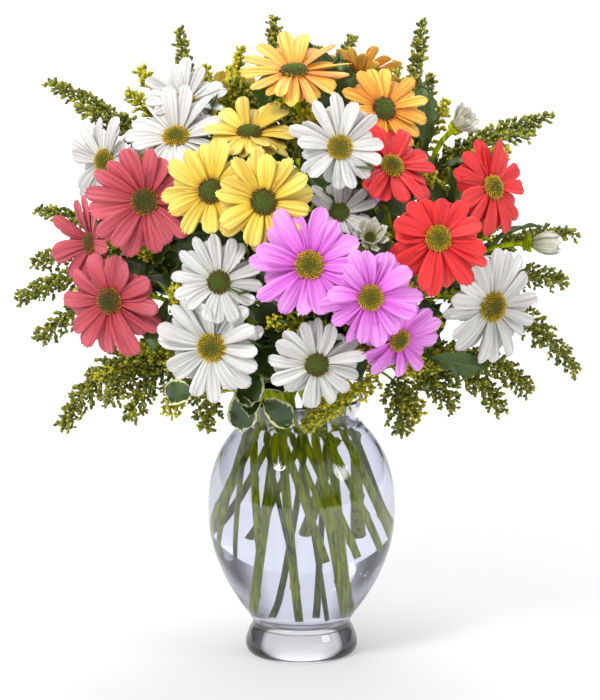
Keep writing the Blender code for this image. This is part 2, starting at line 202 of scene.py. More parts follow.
def tone(red, green, blue):
    """A display colour from 0 to 255, as the shaders take it."""
    shares = [c / 3294.6 if c < 10.3 else ((c / 255 + 0.055) / 1.055) ** 2.4 for c in (red, green, blue)]
    return (*shares, 1.0)


# ---- finishes

class Finish:
    """A material, or the sky, being wired."""

    def __init__(self, name, tree=None):
        if tree is None:
            self.material = bpy.data.materials.new(name)
            self.material.use_nodes = True
            tree = self.material.node_tree
        self.nodes, self.links = tree.nodes, tree.links
        self.shader = self.nodes.get("Principled BSDF")

    def feed(self, node, values):
        """Gives a node's inputs these values, or wires these outputs to them."""
        for name, value in values.items():
            if isinstance(value, (int, float, tuple)):
                node.inputs[name].default_value = value
            else:
                self.links.new(value, node.inputs[name])

    def node(self, kind, inputs=None, **settings):
        made = self.nodes.new("ShaderNode" + kind)
        for name, value in settings.items():
            setattr(made, name, value)
        self.feed(made, inputs or {})
        return made

    def set(self, **values):
        """The main shader's settings, each a value or the output that drives it."""
        self.feed(self.shader, {name.replace("_", " "): value for name, value in values.items()})

    def grain(self):
        """Across, along and chance, from the piece's own attribute."""
        return self.node("Attribute", attribute_name="grain").outputs["Vector"]

    def place(self):
        return self.node("TexCoord").outputs["Object"]

    def split(self, vector):
        return self.node("SeparateXYZ", {0: vector}).outputs

    def stretched(self, vector, scale):
        return self.node("Mapping", {"Vector": vector, "Scale": scale}).outputs[0]

    def noise(self, vector, scale, detail=3.0, rough=0.5):
        settings = {"Vector": vector, "Scale": scale, "Detail": detail, "Roughness": rough}
        return self.node("TexNoise", settings).outputs["Fac"]

    def ramp(self, value, *stops):
        made = self.node("ValToRGB", {0: value})
        elements = made.color_ramp.elements
        while len(elements) < len(stops):
            elements.new(0.5)
        for element, (at, color) in zip(elements, stops):
            element.position = at
            element.color = color if isinstance(color, tuple) else (color, color, color, 1)
        return made.outputs[0]

    def math(self, operation, a, b=0.0):
        return self.node("Math", {0: a, 1: b}, operation=operation).outputs[0]

    def mix(self, share, a, b, blend="MIX"):
        return self.node("Mix", {0: share, 6: a, 7: b}, data_type="RGBA", blend_type=blend).outputs[2]

    def bump(self, height, strength, depth):
        made = self.node("Bump", {"Strength": strength, "Distance": depth, "Height": height})
        self.feed(self.shader, {"Normal": made.outputs[0]})


def petal_finish(name, base, middle, tip, fold_shade):
    """A petal: its colour runs from base to tip, with streaks of painted shade along its folds, and fine
    veins along it in that same shade colour.
    """
    f = Finish(name)
    _, along, chance = f.split(f.grain())
    body = f.ramp(along, (0.0, base), (0.22, middle), (0.85, tip), (1.0, tip))
    lines = f.noise(f.stretched(f.grain(), (3.2, 0.55, 40.0)), 1.0, 2.0)
    # Painted shade: streaks along the petal in the darker fold colour stand for the shade in its folds; the
    # fine veins below take the same colour
    body = f.mix(f.ramp(lines, (0.42, 0.0), (0.68, 0.75)), body, fold_shade)
    # Each petal is darker or lighter at random by its chance. Back-row petals draw only the darker part,
    # which is painted shade
    shade = f.ramp(chance, (0.0, (0.80, 0.80, 0.80, 1)), (1.0, (1.0, 1.0, 1.0, 1)))
    body = f.mix(1.0, body, shade, "MULTIPLY")
    fine = f.noise(f.stretched(f.grain(), (11.0, 0.8, 40.0)), 1.0, 3.0)
    body = f.mix(f.ramp(fine, (0.50, 0.0), (0.75, 0.3)), body, fold_shade)
    f.set(Base_Color=body, Roughness=0.5, Subsurface_Weight=0.25, Subsurface_Scale=0.002,
          Subsurface_Radius=(1.0, 0.85, 0.8), Sheen_Weight=0.15)
    f.bump(fine, 0.35, 0.0004)
    return f.material


def disc_finish(name, heart, ring, rim):
    """The crowded florets of a flower's middle: closed and green at its heart, golden at its rim."""
    f = Finish(name)
    out, height, chance = f.split(f.grain())
    wander = f.math("ADD", out, f.math("MULTIPLY", f.math("SUBTRACT", chance, 0.5), 0.45))
    body = f.ramp(wander, (0.15, heart), (0.55, ring), (0.92, rim))
    # Painted shade: each floret is darker towards its base, between the crowded florets
    body = f.mix(f.ramp(height, (0.0, 0.85), (0.7, 0.0)), body, tone(38, 40, 8))
    f.set(Base_Color=body, Roughness=0.6, Subsurface_Weight=0.1, Subsurface_Scale=0.001)
    return f.material


def stem_finish(name, light, dark):
    """A green stem: streaked lengthwise, paler on patches, slightly waxy, with a faint painted glow."""
    f = Finish(name)
    streaks = f.noise(f.stretched(f.place(), (420.0, 420.0, 22.0)), 1.0, 3.0)
    patches = f.noise(f.place(), 28.0, 2.0)
    body = f.mix(f.ramp(streaks, (0.35, 0.0), (0.65, 1.0)), dark, light)
    body = f.mix(f.ramp(patches, (0.45, 0.0), (0.75, 0.6)), body, tone(196, 206, 10))
    f.set(Base_Color=body, Roughness=0.42, Subsurface_Weight=0.08, Subsurface_Scale=0.001)
    # Painted light: the stem glows faintly in its own colour, though it is no lamp
    f.set(Emission_Color=body, Emission_Strength=0.09, Specular_IOR_Level=0.12)
    f.bump(streaks, 0.3, 0.0005)
    return f.material


def leaf_finish(name, face_green, vein_green, back_green):
    """A leaf: side veins run out from the midrib, and it is mottled with a paler green."""
    f = Finish(name)
    across, along, chance = f.split(f.grain())
    away = f.math("ABSOLUTE", across)
    slant = f.math("SUBTRACT", f.math("MULTIPLY", along, 7.0), f.math("MULTIPLY", away, 2.2))
    saw = f.math("ABSOLUTE", f.math("SUBTRACT", f.math("FRACT", slant), 0.5))
    vein = f.math("MAXIMUM", f.ramp(saw, (0.0, 1.0), (0.07, 0.0)), f.ramp(away, (0.02, 1.0), (0.07, 0.0)))
    mottle = f.noise(f.place(), 90.0, 4.0)
    body = f.mix(f.ramp(mottle, (0.3, 0.0), (0.7, 1.0)), face_green, back_green)
    body = f.mix(f.ramp(vein, (0.0, 0.0), (1.0, 0.55)), body, vein_green)
    body = f.mix(1.0, body, f.ramp(chance, (0.0, 0.55), (1.0, 1.0)), "MULTIPLY")
    f.set(Base_Color=body, Roughness=0.45, Subsurface_Weight=0.08, Subsurface_Scale=0.001)
    f.bump(f.math("SUBTRACT", mottle, vein), 0.35, 0.0006)
    return f.material


def variegated_finish(name):
    """A pittosporum leaf: dark, glossy green with a ragged cream margin."""
    f = Finish(name)
    across, along, _ = f.split(f.grain())
    ragged = f.noise(f.stretched(f.grain(), (3.0, 5.0, 30.0)), 1.6, 4.0, 0.65)
    tip = f.math("MULTIPLY", f.math("SUBTRACT", along, 0.5), 1.9)
    edge = f.math("MAXIMUM", f.math("ABSOLUTE", across), tip)
    edge = f.math("ADD", edge, f.math("MULTIPLY", f.math("SUBTRACT", ragged, 0.5), 0.55))
    mottle = f.noise(f.place(), 70.0, 4.0)
    green = f.mix(f.ramp(mottle, (0.35, 0.0), (0.65, 1.0)), tone(26, 50, 8), tone(58, 88, 24))
    body = f.mix(f.ramp(edge, (0.80, 0.0), (0.86, 1.0)), green, tone(226, 226, 168))
    f.set(Base_Color=body, Roughness=0.28, Coat_Weight=0.2, Coat_Roughness=0.2)
    f.bump(mottle, 0.2, 0.0004)
    return f.material


def bud_finish(name, dark, middle, bright):
    """Goldenrod buds: each its own green, olive or yellow."""
    f = Finish(name)
    _, along, chance = f.split(f.grain())
    body = f.ramp(chance, (0.0, dark), (0.45, middle), (0.95, bright))
    body = f.mix(f.ramp(along, (0.0, 0.55), (0.6, 0.0)), body, tone(70, 84, 12))
    f.set(Base_Color=body, Roughness=0.6)
    return f.material


FOOT_GLASS = 24 * MM


def glass_finish():
    """Clear glass, faintly lavender, with the ripple of a pressed vase. Seen edge on, its colour is painted
    dark as a
    painted reflection of dark surroundings: all round its outline, and over more of the thick foot."""
    f = Finish("clear_glass")
    ripple = f.noise(f.stretched(f.place(), (1.0, 1.0, 0.5)), 26.0, 1.0)
    edge = f.node("LayerWeight").outputs["Facing"]
    steep = f.math("ABSOLUTE", f.split(f.node("NewGeometry").outputs["Normal"])[2])
    low = f.ramp(f.split(f.place())[2], (FOOT_GLASS, 1.0), (FOOT_GLASS + 4 * MM, 0.0))
    foot = f.math("MULTIPLY", low, f.ramp(steep, (0.5, 1.0), (0.75, 0.0)))
    # Painted reflection: where the glass is seen edge on, its lavender tint turns grey at the outline and
    # near black over the foot
    body = f.ramp(edge, (0.88, (0.83, 0.835, 0.905, 1)), (0.98, (0.42, 0.42, 0.50, 1)))
    thick = f.ramp(edge, (0.22, (0.96, 0.96, 0.965, 1)), (0.31, (0.02, 0.02, 0.02, 1)))
    f.set(Base_Color=f.mix(foot, body, thick), Roughness=0.0, IOR=1.47, Transmission_Weight=1.0)
    f.bump(ripple, 0.12, 0.0006)
    return f.material


def water_finish():
    """Clear water, all but still."""
    f = Finish("clear_water")
    f.bump(f.noise(f.place(), 18.0, 1.0), 0.04, 0.0005)
    f.set(Base_Color=(0.97, 0.985, 0.99, 1), Roughness=0.0, IOR=1.333, Transmission_Weight=1.0)
    return f.material


# Each kind of petal, as its base, middle and tip, and the painted shade of its folds
PETAL_TONES = {
    "white": ((206, 208, 160), (222, 220, 212), (232, 230, 226), (168, 165, 158)),
    "salmon": ((180, 24, 36), (192, 50, 66), (214, 90, 104), (148, 26, 42)),
    "yellow": ((176, 108, 8), (242, 206, 48), (251, 234, 112), (206, 146, 14)),
    "orange": ((236, 110, 6), (252, 172, 30), (255, 208, 80), (226, 84, 4)),
    "red": ((180, 4, 10), (244, 8, 12), (253, 38, 40), (176, 2, 10)),
    "magenta": ((196, 50, 160), (238, 112, 230), (252, 166, 248), (190, 58, 180)),
}
PETAL_LOOKS = {color: petal_finish(color + "_petals", *(tone(*part) for part in tones))
               for color, tones in PETAL_TONES.items()}
DISC_LOOKS = {
    "gold": disc_finish("golden_florets", tone(104, 108, 20), tone(146, 132, 14), tone(206, 164, 26)),
    "olive": disc_finish("olive_florets", tone(78, 86, 22), tone(96, 88, 18), tone(158, 84, 36)),
    "green": disc_finish("green_florets", tone(96, 124, 30), tone(92, 104, 24), tone(100, 66, 20)),
}
STEM_LOOK = stem_finish("fresh_stem", tone(186, 200, 0), tone(92, 112, 0))
TWIG_LOOK = stem_finish("goldenrod_stem", tone(118, 130, 40), tone(70, 82, 20))
LEAF_LOOK = leaf_finish("daisy_leaf", tone(52, 80, 16), tone(112, 142, 50), tone(78, 106, 30))
VARIEGATED_LOOK = variegated_finish("pittosporum_leaf")
BUD_LOOK = bud_finish("goldenrod_buds", tone(62, 76, 8), tone(118, 124, 20), tone(178, 172, 40))
BLOOM_LOOK = bud_finish("goldenrod_blooms", tone(136, 140, 8), tone(190, 184, 18), tone(234, 218, 56))
GLASS_LOOK = glass_finish()
WATER_LOOK = water_finish()


# ---- patterns that are copied

def flat_blank(across, along):
    """A two-sided blank that petals and leaves are pressed from: x runs from -1 to 1 across, y from 0 to 1
    along, and z is which side."""
    deselect()
    bpy.ops.mesh.primitive_grid_add(x_subdivisions=across, y_subdivisions=along, size=2)
    blank = applied(bpy.context.object, "SOLIDIFY", thickness=1.0, offset=0.0)
    points, corners, sizes = read_shape(blank)
    points[:, 1] = (points[:, 1] + 1) / 2
    return points, corners, sizes


def ball(radius, tall, raised, around, rows):
    """A ball on the origin, made this many times as tall and then raised."""
    deselect()
    bpy.ops.mesh.primitive_uv_sphere_add(segments=around, ring_count=rows, radius=radius, location=(0, 0, 0))
    bpy.ops.object.mode_set(mode="EDIT")
    bpy.ops.mesh.select_all(action="SELECT")
    bpy.ops.transform.resize(value=(1, 1, tall))
    bpy.ops.transform.translate(value=(0, 0, raised))
    bpy.ops.object.mode_set(mode="OBJECT")
    return read_shape(bpy.context.object)


PETAL_BLANK = flat_blank(10, 12)
BACK_BLANK = flat_blank(6, 8)
BRACT_BLANK = flat_blank(2, 4)
LEAF_BLANK = flat_blank(8, 20)
FLORET = ball(0.5, 1.5, 0.75, 6, 4)
CUSHION = ball(1.0, 0.92, 0, 20, 10)
BUD = ball(0.5, 1.5, 0.75, 5, 2)
DISC_SPREAD = 0.90

DAISY_OUTLINE = ((0, 0.12, 0.35, 0.6, 0.8, 0.92, 1.0), (0.40, 0.52, 0.80, 0.97, 1.0, 0.88, 0.60))
SLIM_OUTLINE = ((0, 0.12, 0.35, 0.6, 0.8, 0.92, 1.0), (0.40, 0.52, 0.78, 0.96, 1.0, 0.90, 0.58))
BRACT_OUTLINE = ((0, 0.4, 0.8, 1.0), (0.9, 1.0, 0.6, 0.12))
LOBED_OUTLINE = ((0, 0.08, 0.20, 0.32, 0.40, 0.52, 0.60, 0.70, 0.78, 0.86, 0.94, 1.0),
                 (0.10, 0.12, 0.30, 0.72, 0.50, 1.0, 0.66, 0.86, 0.58, 0.52, 0.28, 0.03))
OVAL_OUTLINE = ((0, 0.06, 0.2, 0.45, 0.65, 0.85, 0.95, 1.0), (0.10, 0.30, 0.74, 1.0, 1.0, 0.72, 0.42, 0.12))


def pressed(blank, length, width, outline, thick, rise=0.0, bend=0.0, roll=0.0, twist=0.0, sway=0.0,
            channel=0.0, ridge=0.0, ribs=3, round_tip=0.13, teeth=0.0, wave=0.0):
    """Points of a petal or leaf from its base: x across, y outward, z upward."""
    u, v, side = blank[0].T
    half = width / 2 * np.interp(v, *outline)
    steps = np.linspace(0, 1, 33)
    angle = rise + bend * steps**1.4
    middle = (angle[1:] + angle[:-1]) / 2
    out = np.concatenate([[0], np.cumsum(np.cos(middle))]) / 32 * length
    up = np.concatenate([[0], np.cumsum(np.sin(middle))]) / 32 * length
    reach = v * (1 - round_tip * u * u * v**4) - teeth * v**8 * (1 - np.cos(ribs * math.pi * u)) / 2
    slope = np.interp(reach, steps, angle)
    lift = side * thick + channel * width * u * u * (1 - 0.6 * v)
    lift = lift + ridge * np.cos(ribs * math.pi * u) * np.sqrt(np.sin(math.pi * np.clip(v, 0.03, 0.97)))
    lift = lift + wave * np.sin(v * 9.0) * u
    x = half * u + sway * length * v * v
    turn = roll + twist * v
    x, lift = x * np.cos(turn) - lift * np.sin(turn), x * np.sin(turn) + lift * np.cos(turn)
    return np.column_stack([x, np.interp(reach, steps, out) - lift * np.sin(slope),
                            np.interp(reach, steps, up) + lift * np.cos(slope)])


def set_in(points, origin, across, out, up):
    """Points moved from their own axes to a place on the bouquet."""
    return origin + points @ np.array((across, out, up))


def sheet_grain(blank, chance):
    return np.column_stack([blank[0][:, 0], blank[0][:, 1], np.full(len(blank[0]), chance)])


# ---- flower heads

SHUT_BUD = "white_right 3"
# A head that reaches less far than this is half open
HALF_OPEN = 16 * MM


class Head:
    """A flower head as the CAD ring of petals holds it: its middle, the way it faces, and its reach."""

    def __init__(self, place, stem_points):
        node = ring_node(place)
        points = node_points(node)
        centre = points.mean(0)
        axes = np.linalg.svd(points - centre)[2]
        self.own = HEADS.get(place, {})
        self.shut = place == SHUT_BUD
        axis = axes[0] if self.shut else axes[2]
        near = stem_points[np.linalg.norm(stem_points - centre, axis=1) < 22 * MM]
        self.axis = axis if ((near - centre) @ axis).mean() < 0 else -axis
        along = (points - centre) @ self.axis
        radii = np.linalg.norm(points - centre - np.outer(along, self.axis), axis=1)
        self.reach = radii.max()
        self.half = not self.shut and self.reach < HALF_OPEN
        if self.shut:
            self.disc = self.reach * 0.9
            self.middle = centre + self.axis * (along.min() - 1.5 * MM)
        else:
            inner = radii < radii.min() + 0.3 * MM
            self.disc = radii[inner].min() - 0.3 * MM
            drop = 0.32 if self.half else 0.04
            self.middle = centre + self.axis * (along[inner].mean() - drop * self.reach)
        self.side, self.other = axes_of(self.axis)
        self.dice = random.Random(node)

    def out(self, angle):
        """The outward and crosswise directions of a petal at this angle round the head."""
        outward = self.side * math.cos(angle) + self.other * math.sin(angle)
        return outward, np.cross(outward, self.axis)

    def part(self, shape, blank, axes, grain):
        """A petal or bract set in this head, as gathered takes it."""
        outward, across = axes
        return set_in(shape, self.middle, across, outward, self.axis), *blank[1:], grain, 0


# How each kind of head is set: how many petals, their width as a share of the head's reach, their mean bend
# towards the tip in degrees, their outline, how toothed their tips are, and which disc they surround
KINDS = {
    "white": dict(petals=15, wide=0.31, bend=-22, disc="gold", outline=SLIM_OUTLINE, teeth=0.03),
    "salmon": dict(petals=16, wide=0.36, bend=-26, disc="olive", outline=DAISY_OUTLINE, teeth=0.04),
    "yellow": dict(petals=15, wide=0.36, bend=-18, disc="green", outline=DAISY_OUTLINE, teeth=0.05),
    "orange": dict(petals=14, wide=0.29, bend=-14, disc="green", outline=SLIM_OUTLINE, teeth=0.03),
    "red": dict(petals=14, wide=0.37, bend=-20, disc="gold", outline=DAISY_OUTLINE, teeth=0.04),
    "magenta": dict(petals=16, wide=0.35, bend=-20, disc="gold", outline=DAISY_OUTLINE, teeth=0.04),
}
# What sets single heads apart. Bearings run round a head from its right-hand side over its top, in degrees:
# "nod" is where its petals fall back and by how much, "long" where they are longer and by what share. A
# "young" head has a disc that is still green
HEADS = {
    "salmon 1": dict(long=(180, 0.08), nod=(300, 6)),
    "salmon 2": dict(petals=13, rise=18, nod=(0, 26)),
    "salmon 3": dict(petals=14, long=(315, 0.08), nod=(270, 8)),
    "yellow 1": dict(petals=13, rise=8),
    "yellow 2": dict(petals=13, long=(120, 0.06)),
    "orange 1": dict(petals=13, nod=(270, 20), long=(90, 0.08)),
    "orange 2": dict(petals=13, nod=(0, 6)),
    "orange 3": dict(rise=14),
    "red 1": dict(petals=12, nod=(0, 8)),
    "red 2": dict(petals=13, long=(270, 0.12), nod=(250, 8)),
    "red 3": dict(petals=12, long=(170, 0.08)),
    "magenta 1": dict(petals=14, long=(170, 0.09)),
    "magenta 2": dict(petals=14, nod=(270, 8)),
    "magenta 3": dict(petals=12, long=(0, 0.06)),
    "white_left 1": dict(petals=13, rise=20),
    "white_left 2": dict(petals=14, rise=8, long=(90, 0.08)),
    "white_left 3": dict(petals=13, nod=(200, 10), long=(230, 0.1)),
    "white_middle 1": dict(petals=13, long=(120, 0.14), nod=(300, 8)),
    "white_middle 2": dict(young=True, petals=12, rise=12),
    "white_front 1": dict(young=True, petals=14, nod=(0, 10), long=(110, 0.06)),
    "white_front 2": dict(petals=17, nod=(270, 6)),
    "white_front 3": dict(young=True, petals=15, nod=(270, 8)),
    "white_right 1": dict(petals=16, wide=0.26, nod=(270, 6)),
}


def petal_plan(head, kind):
    """(bearing, length, rise) of each petal in the front row, in degrees and shares of the head's reach."""
    dice, count = head.dice, kind["petals"]
    first = dice.uniform(0, 360)
    nod_side, nod = kind.get("nod", (270, 4))
    long_side, longer = kind.get("long", (90, 0.03))
    plan = []
    for k in range(count):
        bearing = (first + (k + dice.uniform(-0.3, 0.3)) * 360 / count) % 360
        length = dice.uniform(0.96, 1.13) + longer * math.cos(radians(bearing - long_side))
        rise = kind.get("rise", 4) - nod * math.cos(radians(bearing - nod_side)) + dice.gauss(0, 8)
        plan.append((bearing, length, rise))
    return sorted(plan)


def open_petals(head, kind):
    """The front row of petals round an open head, and a shorter row behind that fills its gaps."""
    dice, parts = head.dice, []
    plan = petal_plan(head, kind)
    rows = [(*petal, 0) for petal in plan]
    for (a, long, rise), (b, long_b, rise_b) in zip(plan, plan[1:] + plan[:1]):
        gap = (b - a) % 360
        if gap > 11:
            rows.append((a + gap * dice.uniform(0.4, 0.6), min(long, long_b) * dice.uniform(0.78, 0.92),
                         (rise + rise_b) / 2 - dice.uniform(4, 12), 1))
    start = head.disc * 0.72
    for bearing, share, tip_rise, back in rows:
        axes = head.out(radians(bearing))
        bend = radians(kind["bend"] - 12 * max(0.0, -axes[0][2]) + dice.gauss(0, 12))
        rise = radians(tip_rise) - 0.42 * bend
        length = head.reach * share - start
        width = head.reach * kind["wide"] * dice.uniform(0.88, 1.12) * min(1.0, 0.35 + 0.7 * share)
        blank = BACK_BLANK if back else PETAL_BLANK
        petal = pressed(blank, length * 1.03, width, kind["outline"], PETAL_THICK, rise, bend,
                        radians(8 + dice.gauss(0, 9)), radians(dice.gauss(0, 13)),
                        dice.gauss(0, 0.06), dice.uniform(0.05, 0.20), 0.46 * MM, 3,
                        dice.uniform(0.03, 0.06), kind["teeth"] * dice.uniform(0.4, 1.3))
        petal += (0, start, (-0.5 - 1.1 * back + dice.uniform(-0.4, 0.4)) * MM)
        # Back-row petals get a lower chance, so they are painted darker, as shade behind the front row
        grain = sheet_grain(blank, dice.random() * (0.55 if back else 1.0))
        parts.append(head.part(petal, blank, axes, grain))
    return parts


# A young petal has only the colours from the base of a grown one, this far along it
YOUNG_SHARE = 0.16
PETAL_THICK = 0.35 * MM


def cupped_petals(head):
    """A half-open head or a shut bud: upright petals that close over its middle."""
    dice, parts = head.dice, []
    count = 14 if head.half else 9
    for number in range(count):
        axes = head.out((number + dice.uniform(-0.15, 0.15)) * TURN / count)
        back = number % 2
        if head.half:
            rise, bend = radians(66 - 14 * back + dice.gauss(0, 4)), radians(8 + dice.gauss(0, 8))
            start, length, width = head.disc * 0.75, head.reach * 1.12, head.reach * 0.5
        else:
            rise, bend = radians(58 - 6 * back), radians(72)
            start, length, width = head.disc * 0.45, head.reach * 2.9, head.reach * 1.0
        petal = pressed(PETAL_BLANK, length * dice.uniform(0.9, 1.05), width, SLIM_OUTLINE, PETAL_THICK,
                        rise, bend, radians(8), 0, dice.gauss(0, 0.03), 0.14, 0.25 * MM, 3, 0.2, 0.03)
        petal += (0, start, 0.5 * MM)
        grain = sheet_grain(PETAL_BLANK, dice.random()) * (1, YOUNG_SHARE, 1)
        parts.append(head.part(petal, PETAL_BLANK, axes, grain))
    return parts


def florets(head, look):
    """The domed middle: florets in a sunflower spiral on a cushion, closed at the heart, open at the rim."""
    dice, parts = head.dice, []
    count = 150 if not head.half else 60
    wide_disc, dome = head.disc * DISC_SPREAD, head.disc * 0.34
    points, corners, sizes = CUSHION
    cushion = set_in(points * (wide_disc, wide_disc, dome), head.middle, head.side, head.other, head.axis)
    parts.append((cushion, corners, sizes, np.tile((0.3, 0.5, 0.3), (len(points), 1)), look))
    points, corners, sizes = FLORET
    tall = points[:, 2] / points[:, 2].max()
    for number in range(count):
        share = math.sqrt((number + 0.3) / count)
        outward, _ = head.out(number * GOLDEN_TURN)
        seat = head.middle + outward * wide_disc * share
        seat = seat + head.axis * dome * (1 - share**2.2)
        lean = unit(head.axis + outward * share * 0.9)
        side, other = axes_of(lean)
        wide = head.disc * (0.118 + 0.032 * share) * dice.uniform(0.85, 1.15)
        floret = set_in(points * wide * (1, 1, dice.uniform(0.8, 1.2)), seat, side, other, lean)
        grain = np.column_stack([np.full(len(points), share), tall, np.full(len(points), dice.random())])
        parts.append((floret, corners, sizes, grain, look))
    return parts


# Rows of bracts behind a head: height in millimetres, distance out and length as shares, rise in degrees
BRACT_ROWS = ((-5.6, 0.28, 0.62, 18), (-4.4, 0.50, 0.62, 34), (-3.0, 0.74, 0.60, 58))


def calyx(head):
    """The green cup behind a head, covered with small pointed bracts."""
    dice, parts = head.dice, []
    spread = head.disc * 0.98
    for row, (height, out, length, rise) in enumerate(BRACT_ROWS):
        count = 9 + 3 * row
        for number in range(count):
            bract = pressed(BRACT_BLANK, spread * length, spread * 0.52, BRACT_OUTLINE, 0.5 * MM,
                            radians(rise + dice.gauss(0, 3)), radians(26), channel=0.1)
            bract += (0, spread * out, height * MM)
            grain = sheet_grain(BRACT_BLANK, dice.random())
            parts.append(head.part(bract, BRACT_BLANK, head.out((number + 0.5 * row) * TURN / count), grain))
    return parts


SPRAYS = ("salmon", "yellow", "orange", "red", "magenta", "white_left", "white_middle", "white_front",
          "white_right", "white_back", "yellow_back", "magenta_back")
STEM_RADIUS = 2.7 * MM
TWIG_RADIUS = 1.3 * MM
JOINT_GAP = 42 * MM


def stem_ends(points):
    """The foot of a stem, and its middle just above the rim, from its CAD points."""
    x, y, z = points.T
    foot = points[z < z.min() + 2.4 * MM].mean(0)
    ring = points[(abs(z - (RIM_HEIGHT + 14 * MM)) < 2.4 * MM) & (np.hypot(x, y) < 55 * MM)]
    return foot, ring.mean(0)


def knotted(points, radius, dice):
    """A stem's straight run with its joints: rings where leaves grew, a little thicker than the rest."""
    foot, top = points
    length = np.linalg.norm(top - foot)
    stations, widths = [0.0, 0.6 * MM], [radius * 0.9, radius * 1.02]
    at = dice.uniform(0.3, 0.9) * JOINT_GAP
    while at < length - 12 * MM:
        for step, wide in ((-4, 1.0), (-1.4, 1.1), (0, 1.24), (1.2, 1.1), (4, 0.97)):
            stations.append(at + step * MM)
            widths.append(radius * wide)
        at += JOINT_GAP * dice.uniform(0.75, 1.3)
    return foot + np.outer(np.array(stations) / length, top - foot), widths


def leaf_part(base, direction, face, length, width, dice, outline=LOBED_OUTLINE, look=0, **press):
    """One leaf from its base, growing in this direction, with its upper side towards face."""
    out = unit(np.asarray(direction, float))
    up = unit(face - out * np.dot(face, out))
    across = np.cross(out, up)
    settings = dict(rise=radians(14), bend=radians(-46), twist=radians(dice.gauss(0, 10)),
                    sway=dice.gauss(0, 0.06), channel=0.16, ridge=0.25 * MM, ribs=1, wave=1.0 * MM)
    settings.update(press)
    leaf = pressed(LEAF_BLANK, length, width, outline, 0.4 * MM, **settings)
    grain = sheet_grain(LEAF_BLANK, dice.random())
    return set_in(leaf, base, across, out, up), *LEAF_BLANK[1:], grain, look


# Long leaves on the sprays' stems, as middle, turn, lift, length and width, as in the CAD
SPRAY_LEAVES = {
    "white_right": ((85, -50, 205, 5, 25, 56, 22), (105, -60, 160, 20, 30, 40, 18)),
    "magenta": ((105, -85, 40, 20, 20, 46, 22),),
    "salmon": ((-95, -85, 65, -30, 20, 40, 20),),
    "white_back": ((-95, 70, 115, -140, 25, 50, 24),),
    "yellow_back": ((25, 105, 160, 170, 35, 48, 22), (90, 65, 145, 130, 20, 46, 22)),
}
# Which heads of other sprays a spray's leaves reach towards, behind the gap between them
NEIGHBOURS = {
    "magenta": ("white_right 1", "white_front 3", "white_front 1"),
    "red": ("white_right 1", "magenta 2"),
    "white_right": ("magenta 3", "red 2"),
    "salmon": ("white_front 1", "white_front 2"),
    "yellow": ("magenta 1", "white_front 1"),
    "orange": ("yellow_back 1",),
    "white_back": ("yellow_back 3", "salmon 2"),
    "magenta_back": ("red 3", "yellow_back 2"),
}
# Those leaves stand at this share of the gap's own distance from the middle of the bouquet
GAP_DEPTH = 0.80
# Lengths and widths in millimetres, between which chance picks, of leaves in gaps and on branches
GAP_LEAF = (50, 62), (30, 38)
BRANCH_LEAF = (34, 54), (19, 28)


def facing(turn, lift):
    """The direction turned this far to the right of -Y and lifted this far, in degrees."""
    turn, lift = radians(turn), radians(lift)
    return np.array((math.sin(turn) * math.cos(lift), -math.cos(turn) * math.cos(lift), math.sin(lift)))


def place_leaf(parts, runs, leaf, root, dice, look, **press):
    """Adds a leaf, given as its row in a table says, and the run of the stalk that joins it to root."""
    x, y, z, turn, lift, length, width = leaf
    middle, face = above_rim(x, y, z), facing(turn, lift)
    along = middle - root
    along = unit(along - face * (along @ face))
    base = middle - along * length * 0.5 * MM
    parts.append(leaf_part(base, along, face, length * MM, width * MM, dice, look=look, **press))
    stalk = arc(root, root * 0.6 + base * 0.4, base - along * 5 * MM, base + along * 2 * MM, 6)
    runs.append((stalk, [1.0 * MM] * 7))


